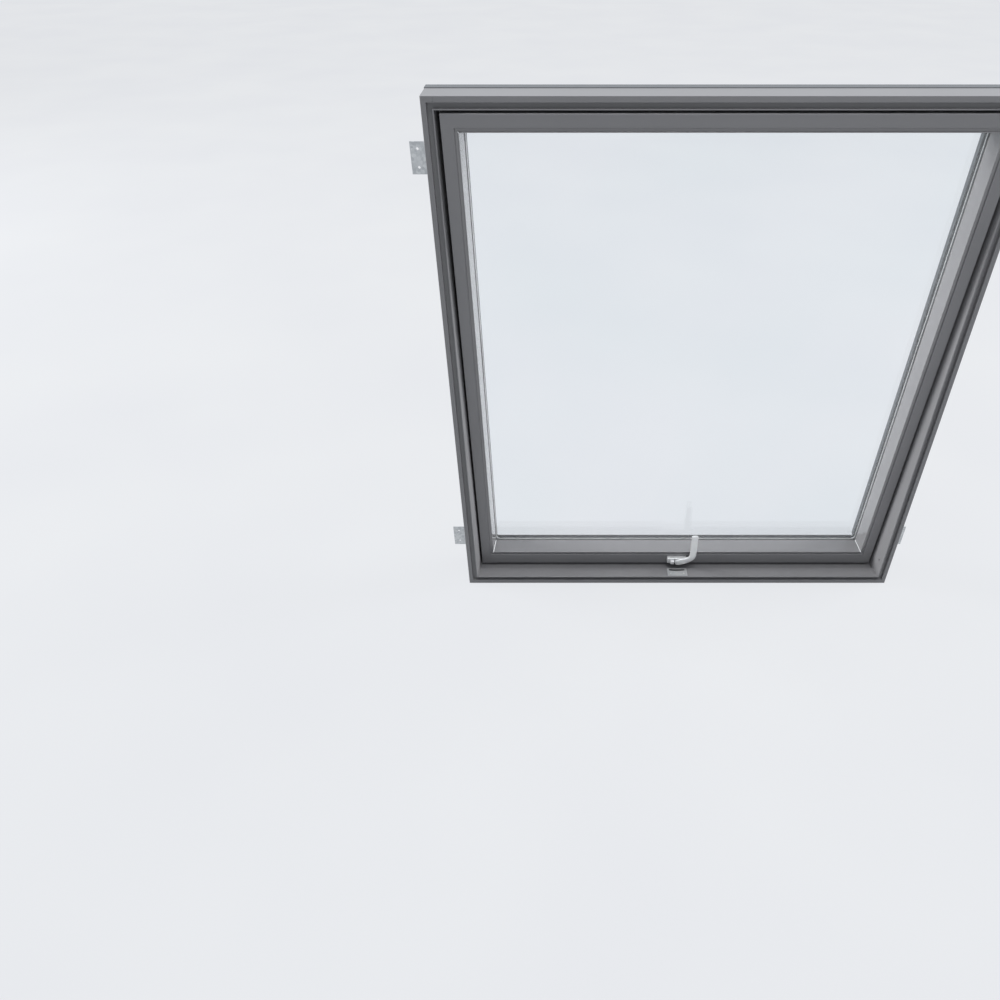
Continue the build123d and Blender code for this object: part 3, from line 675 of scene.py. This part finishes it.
# Base of the handle: a block with a fixed boss cut back round the hub, hollow for the tongue
base = {
    "centre": (0.0, -48.75, -649.0),
    "size": (63.0, 12.5, 21.0),
    "cornerRadius": 3.0,
    "edgeRadius": 1.6,
    "bossLength": 27.0,
    "bossDrop": 2.0,
    "bossRadius": 6.0,
    "bossHeight": 8.0,
    "bossSunk": 1.0,
    "bossEdge": 0.9,
    "roundShare": 0.99,  # just under a half circle, so that no two points of an end meet
    "hubRadius": 15.2,
    "pocketDepth": 5.5,
    "pocketSides": (28.5, 8.0),  # reach to the left and to the right of the hub
    "pocketEnds": (20.0, 8.0),  # reach below and above it
    "spindleRadius": 4.05,
    "overshoot": 2.0,
}


def makeBoss(hubX, front, z):
    # it stands on the front, its edge is round, and it is cut back round the hub
    half = base["bossLength"] / 2
    top = front - base["bossHeight"]
    boss = flatPiece(hubX - half, front + base["bossSunk"], z - base["bossDrop"],
                     half, base["bossRadius"])
    editPiece(boss)
    pick(boss, "verts")
    bevel(base["roundShare"] * base["bossRadius"], 10, affect="VERTICES")
    pick(boss, "faces")
    extrude(0, -base["bossHeight"] - base["bossSunk"], 0)
    faceOutwards()
    pick(boss, "edges", edgesAt(top))
    bevel(base["bossEdge"], 3)
    hubSpace = addShape("cylinder", (hubX, top, z), vertices=96, rotation=(math.radians(90), 0, 0),
                        radius=base["hubRadius"] * millimetre,
                        depth=2 * base["bossHeight"] * millimetre)
    combine(boss, hubSpace, "DIFFERENCE")
    return boss


def makeBase():
    x, y, z = base["centre"]
    thickness = base["size"][1]
    hubX = lever["hub"][0]
    front, back = y - thickness / 2, y + thickness / 2
    piece = addShape("cube", base["centre"], size=1, scale=metres(*base["size"]))
    editPiece(piece)
    pick(piece, "edges", lambda e: abs(along(e).y) > 0.9)
    bevel(base["cornerRadius"], 5)
    pick(piece, "edges", edgesAt(front))
    bevel(base["edgeRadius"], 4)
    combine(piece, makeBoss(hubX, front, z), "UNION")
    # pocket for the tongue, open behind and below
    left, right = hubX - base["pocketSides"][0], hubX + base["pocketSides"][1]
    low, high = z - base["pocketEnds"][0], z + base["pocketEnds"][1]
    floor, mouth = back - base["pocketDepth"], back + base["overshoot"]
    pocket = addShape("cube", ((left + right) / 2, (floor + mouth) / 2, (low + high) / 2), size=1,
                      scale=metres(right - left, mouth - floor, high - low))
    combine(piece, pocket, "DIFFERENCE")
    hole = addShape("cylinder", (hubX, y, z), vertices=40, rotation=(math.radians(90), 0, 0),
                    radius=base["spindleRadius"] * millimetre, depth=2 * thickness * millimetre)
    combine(piece, hole, "DIFFERENCE")
    tiltSash(piece)
    finishPiece(piece, "handleBase", "sash", "handle_aluminium", castHandle, "handle_base")


makeBase()
print("handle base made")

# Spacer of the insulating glass: foil on its sides, a dark composite face towards the cavity
spacer = {
    "outer": (591.0, 624.5),  # half the width and half the height of its outline
    "shift": 4.5,  # how far its centre lies above the pivots
    "width": 7.0,
    "cornerRadius": 16.0,
    "near": 17.5,
    "depth": 12.0,
    "shoulder": 1.3,
    "faceInset": 2.6,
    "faceRecess": 0.35,
}


def roundedRing(facts):
    # ring in the plane of the glass, its room side at the depth near
    halfX, halfZ = facts["outer"]
    ring = flatPiece(0, facts["near"], facts["shift"], halfX, halfZ)
    editPiece(ring)
    pick(ring, "verts")
    bevel(facts["cornerRadius"], 8, affect="VERTICES")
    pick(ring, "faces")
    inset(facts["width"])
    bpy.ops.mesh.delete(type="FACE")
    pick(ring, "faces")
    extrude(0, facts["depth"], 0)
    faceOutwards()
    return ring


def facesInside(shift):
    # faces that look towards the middle of the opening
    centre = Vector(metres(0, 0, shift))

    def test(face):
        inward = centre - face.calc_center_median()
        inward.y = 0
        return abs(face.normal.y) < 0.2 and face.normal.dot(inward) > 0
    return test


def roundInnerEdges(ring, shift, radius):
    inner = facesInside(shift)
    pick(ring, "edges", lambda e: abs(along(e).y) < 0.1 and any(inner(f) for f in e.link_faces))
    bevel(radius, 3)


def makeSpacer():
    piece = roundedRing(spacer)
    piece.data.materials.append(spacerFoil)
    piece.data.materials.append(spacerComposite)
    roundInnerEdges(piece, spacer["shift"], spacer["shoulder"])
    inner = facesInside(spacer["shift"])
    pick(piece, "faces", lambda f: inner(f) and abs(f.normal.y) < 0.01)
    inset(spacer["faceInset"])
    bpy.ops.transform.shrink_fatten(value=-spacer["faceRecess"] * millimetre)
    pick(piece, "faces", inner)
    piece.active_material_index = 1
    bpy.ops.object.material_slot_assign()
    tiltSash(piece)
    finishPiece(piece, "spacerBar", "sash", "spacer_aluminium", (spacerFoil, spacerComposite),
                "spacer_bar")


makeSpacer()
print("spacer made")

# Room-side gasket: a round lip that stops short of the spacer, so the foil shows beside it
gasket = {
    "outer": (598.0, 631.5),
    "shift": 4.5,
    "width": 12.0,
    "cornerRadius": 9.0,
    "near": 9.5,
    "depth": 2.0,
    "lip": 0.7,
}


def makeGasket():
    piece = roundedRing(gasket)
    roundInnerEdges(piece, gasket["shift"], gasket["lip"])
    tiltSash(piece)
    finishPiece(piece, "glazingGasket", "sash", "seal_rubber", greyRubber, "inner_glazing_gasket")


makeGasket()
print("gasket made")

# Mitres of the glazing beads, each with a thin near-white strip that stands a little proud: a painted
# highlight for the light along the mitre
mitre = {
    "opening": (593.0, 626.5),
    "shift": 4.5,
    "front": -41.9,
    "back": 9.3,
    "reach": 6.0,  # how far the bead leans inwards from front to back
    "proud": 0.4,
    "width": 2.2,
    "thickness": 1.8,
    "edge": 0.15,
}


def makeMitreHighlight(name, sideX, sideZ):
    openingX, openingZ = mitre["opening"]
    strip = addShape("plane", (0, 0, 0), size=1)
    editPiece(strip)
    pick(strip, "verts")
    mesh = bmesh.from_edit_mesh(strip.data)
    corners = [
        (-mitre["proud"], mitre["front"]),
        (mitre["width"], mitre["front"]),
        (mitre["width"] - mitre["reach"], mitre["back"]),
        (-mitre["proud"] - mitre["reach"], mitre["back"]),
    ]
    ordered = sorted(mesh.verts, key=lambda v: math.atan2(v.co.y, v.co.x))
    for vert, (out, y) in zip(ordered, corners):
        vert.co = metres(sideX * (openingX + out), y, sideZ * (openingZ + out) + mitre["shift"])
    bmesh.update_edit_mesh(strip.data)
    # its thickness runs across the mitre
    step = mitre["thickness"] / math.sqrt(2)
    bpy.ops.transform.translate(value=metres(-sideX * step / 2, 0, sideZ * step / 2))
    extrude(sideX * step, 0, -sideZ * step)
    faceOutwards()
    pick(strip, "edges")
    bevel(mitre["edge"], 2)
    tiltSash(strip)
    finishPiece(strip, name, "sash", "bead_paint", mitreHighlightFinish)


for rowName, sideZ in (("Bottom", -1), ("Top", 1)):
    for columnName, sideX in (("Left", -1), ("Right", 1)):
        makeMitreHighlight("mitreHighlightStrip" + rowName + columnName, sideX, sideZ)
print("mitre lines made")

# Countersunk screws with a cross recess: head and shank are radii
screws = {
    "hinge": {"shank": 2.2, "head": 4.4, "length": 22.0},
    "keeper": {"shank": 1.8, "head": 3.1, "length": 20.0},
    "rim": 0.25,
    "tipRatio": 0.15,
    "recessLength": 0.62,  # shares of the head's radius
    "recessWidth": 0.17,
    "recessDepths": (0.36, 0.34),  # unequal, so that no two floors coincide
    "framePivotAt": (637.0, 5.0, (-48.0, 48.0)),
    "sashPivotAt": (631.5, 0.0, (-36.0, 36.0)),
    "keeperAt": (20.5, -56.0, -671.0),
    "keeperTurn": 30,
}


def crossScrew(shank, head, length):
    # its head lies flat at the origin and its shank runs down -z
    rim, slope = screws["rim"], head - shank
    screw = addShape("circle", (0, 0, 0), vertices=32, radius=head * millimetre, fill_type="NGON")
    editPiece(screw)
    pick(screw, "faces")
    extrude(0, 0, -rim)
    extrude(0, 0, -slope)
    narrow(shank / head)
    extrude(0, 0, rim + slope + shank - length)
    extrude(0, 0, -shank)
    narrow(screws["tipRatio"])
    faceOutwards()
    for turn, depth in zip((0, 90), screws["recessDepths"]):
        shares = screws["recessLength"], screws["recessWidth"], depth
        blade = addShape("cube", (0, 0, 0), size=1, rotation=(0, 0, math.radians(turn)),
                         scale=metres(*(2 * head * share for share in shares)))
        combine(screw, blade, "DIFFERENCE")
    return screw


def placeScrews(pattern, places):
    # a place is a point and the turn that takes -z into the material
    copies = [copyAt(pattern, at, turn) for at, turn in places]
    bpy.data.objects.remove(pattern)
    return joined(copies)


def onBothSides(x, y, heights, turn):
    return [((side * x, y, z), (0, side * turn, 0)) for side in (-1, 1) for z in heights]


def makeScrews():
    pattern = crossScrew(**screws["hinge"])
    piece = placeScrews(pattern, onBothSides(*screws["framePivotAt"], turn=-90))
    finishPiece(piece, "framePivotScrews", "frame", "screw_steel", zincSteel, "frame_pivot_screws")
    pattern = crossScrew(**screws["hinge"])
    piece = placeScrews(pattern, onBothSides(*screws["sashPivotAt"], turn=90))
    tiltSash(piece)
    finishPiece(piece, "sashPivotScrews", "sash", "screw_steel", zincSteel, "sash_pivot_screws")
    x, y, z = screws["keeperAt"]
    places = [((side * x, y, z), (0, 0, side * screws["keeperTurn"])) for side in (-1, 1)]
    piece = placeScrews(crossScrew(**screws["keeper"]), places)
    finishPiece(piece, "keeperScrews", "frame", "screw_steel", zincSteel, "keeper_screws")


makeScrews()
print("screws made")

# Hexagon screws of the brackets: head, washer and shank are radii
hexScrew = {
    "head": 5.0,
    "headHeight": 3.0,
    "chamfer": 0.5,
    "washer": 5.6,
    "washerThickness": 0.8,
    "washerEdge": 0.01,
    "shank": 2.5,
    "length": 26.5,
    "tipRatio": 0.1,
    "at": (672.5, -16.0),
    "rows": (-560.0, 560.0),
    "rise": 20.0,
}


def makeHead():
    head = addShape("circle", (0, 0, 0), vertices=6, radius=hexScrew["head"] * millimetre,
                    fill_type="NGON")
    editPiece(head)
    pick(head, "faces")
    extrude(0, 0, hexScrew["headHeight"])
    faceOutwards()
    pick(head, "faces", lambda f: f.normal.z > 0.9)
    bevel(hexScrew["chamfer"], 2)
    return head


def makeWasherAndShank():
    washer = addShape("circle", (0, 0, hexScrew["washerThickness"]), vertices=24,
                      radius=hexScrew["washer"] * millimetre, fill_type="NGON")
    editPiece(washer)
    pick(washer, "faces")
    extrude(0, 0, -hexScrew["washerThickness"])
    extrude(0, 0, -hexScrew["washerEdge"])
    narrow(hexScrew["shank"] / hexScrew["washer"])
    extrude(0, 0, hexScrew["shank"] - hexScrew["length"])
    extrude(0, 0, -hexScrew["shank"])
    narrow(hexScrew["tipRatio"])
    faceOutwards()
    return washer


def makeBracketScrews():
    pattern = joined([makeHead(), makeWasherAndShank()])
    heights = [row + step * hexScrew["rise"] for row in hexScrew["rows"] for step in (-1, 1)]
    piece = placeScrews(pattern, onBothSides(*hexScrew["at"], heights, turn=90))
    finishPiece(piece, "bracketScrews", "frame", "screw_steel", zincSteel, "bracket_screws")


makeBracketScrews()
print("bracket screws made")

# Studio: its sizes and places are metres
studio = {
    "floorSize": 60.0,
    "floorGlow": 0.92,
    "floorTones": ("#e8eaee", "#ebedf0"),
    "floorPatch": 900.0,
    "floorMatt": "#a4a6a9",
    "skyColour": "#e2e6ec",
    "ambient": 0.45,
}


def seenDirectly(tree):
    # 1 for what the camera, a reflection or a pane looks at, 0 for what lights the object
    rays = addNode(tree, "ShaderNodeLightPath", {}).outputs
    seen = addNode(tree, "ShaderNodeMath", {0: rays["Is Camera Ray"], 1: rays["Is Glossy Ray"]},
                   operation="MAXIMUM")
    return addNode(tree, "ShaderNodeMath", {
        0: seen.outputs["Value"], 1: rays["Is Transmission Ray"]}, operation="MAXIMUM").outputs["Value"]


def studioFloor():
    # pale matt vinyl: part of it glows for what looks at it, so it is pale and still takes the shadow
    material, tree, shader, place = startMaterial("pale_studio_floor")
    tree.nodes.remove(shader)
    cloud = addNode(tree, "ShaderNodeTexNoise", {
        "Vector": place, "Scale": perMetre(studio["floorPatch"]), "Detail": 2.0})
    tone = addNode(tree, "ShaderNodeValToRGB", {"Fac": cloud.outputs["Fac"]},
                   stops=[(0.3, studio["floorTones"][0]), (0.7, studio["floorTones"][1])])
    matt = addNode(tree, "ShaderNodeBsdfDiffuse", {"Color": linear(studio["floorMatt"])})
    glow = addNode(tree, "ShaderNodeEmission", {"Color": tone.outputs["Color"], "Strength": 1.0})
    share = addNode(tree, "ShaderNodeMath", {0: seenDirectly(tree), 1: studio["floorGlow"]},
                    operation="MULTIPLY")
    mixed = addNode(tree, "ShaderNodeMixShader", {
        0: share.outputs["Value"], 1: matt.outputs["BSDF"], 2: glow.outputs["Emission"]})
    setInputs(tree, tree.nodes["Material Output"], {"Surface": mixed.outputs["Shader"]})
    return material


bpy.ops.mesh.primitive_plane_add(size=studio["floorSize"], location=(0, 0, cadBox[0][2]))
floor = bpy.context.object
floor.name = "studio_floor"
floor.data.materials.append(studioFloor())


def studioWorld():
    world = bpy.data.worlds.new("soft_studio")
    bpy.context.scene.world = world
    world.use_nodes = True
    tree = world.node_tree
    tree.nodes.clear()
    skyColour = linear(studio["skyColour"])
    dim = addNode(tree, "ShaderNodeBackground", {"Color": skyColour, "Strength": studio["ambient"]})
    bright = addNode(tree, "ShaderNodeBackground", {"Color": skyColour, "Strength": 1.0})
    mixed = addNode(tree, "ShaderNodeMixShader", {
        0: seenDirectly(tree), 1: dim.outputs["Background"], 2: bright.outputs["Background"]})
    addNode(tree, "ShaderNodeOutputWorld", {"Surface": mixed.outputs["Shader"]})


studioWorld()

lamps = {
    "skyHigh": {"at": (0.0, -0.9, 4.3), "size": 2.4, "watts": 135.0, "inReflections": True},
    "skyLeft": {"at": (-7.5, 1.9, 2.2), "size": 4.0, "watts": 1300.0, "inReflections": False},
    "skyRight": {"at": (7.5, 1.9, 2.2), "size": 4.0, "watts": 1220.0, "inReflections": False},
    "roomSide": {"at": (0.6, -2.6, 1.2), "size": 2.6, "watts": 12.0, "inReflections": False},
}
for lampName, lamp in lamps.items():
    data = bpy.data.lights.new(lampName, "AREA")
    data.shape = "DISK"
    data.size = lamp["size"]
    data.energy = lamp["watts"]
    light = bpy.data.objects.new(lampName, data)
    bpy.context.scene.collection.objects.link(light)
    light.location = lamp["at"]
    light.rotation_euler = Vector(lamp["at"]).to_track_quat("Z", "Y").to_euler()
    # no lamp shows as a disk, in the panes or beside the window
    light.visible_camera = False
    light.visible_transmission = False
    light.visible_glossy = lamp["inReflections"]

cameraFacts = {
    "at": (-0.362, -1.9771, 1.0683),
    "pitch": 50.0,
    "lens": 28.94,
    "sensor": 36.0,
    "shift": (-0.065, 0.043),
    "clipEnd": 200.0,
}
cameraData = bpy.data.cameras.new("camera")
cameraData.lens = cameraFacts["lens"]
cameraData.sensor_width = cameraFacts["sensor"]
cameraData.shift_x, cameraData.shift_y = cameraFacts["shift"]
cameraData.clip_end = cameraFacts["clipEnd"]
camera = bpy.data.objects.new("camera", cameraData)
bpy.context.scene.collection.objects.link(camera)
camera.location = cameraFacts["at"]
camera.rotation_euler = (math.radians(cameraFacts["pitch"]), 0, 0)
bpy.context.scene.camera = camera
bpy.context.scene.view_settings.view_transform = "Standard"
print("studio ready")
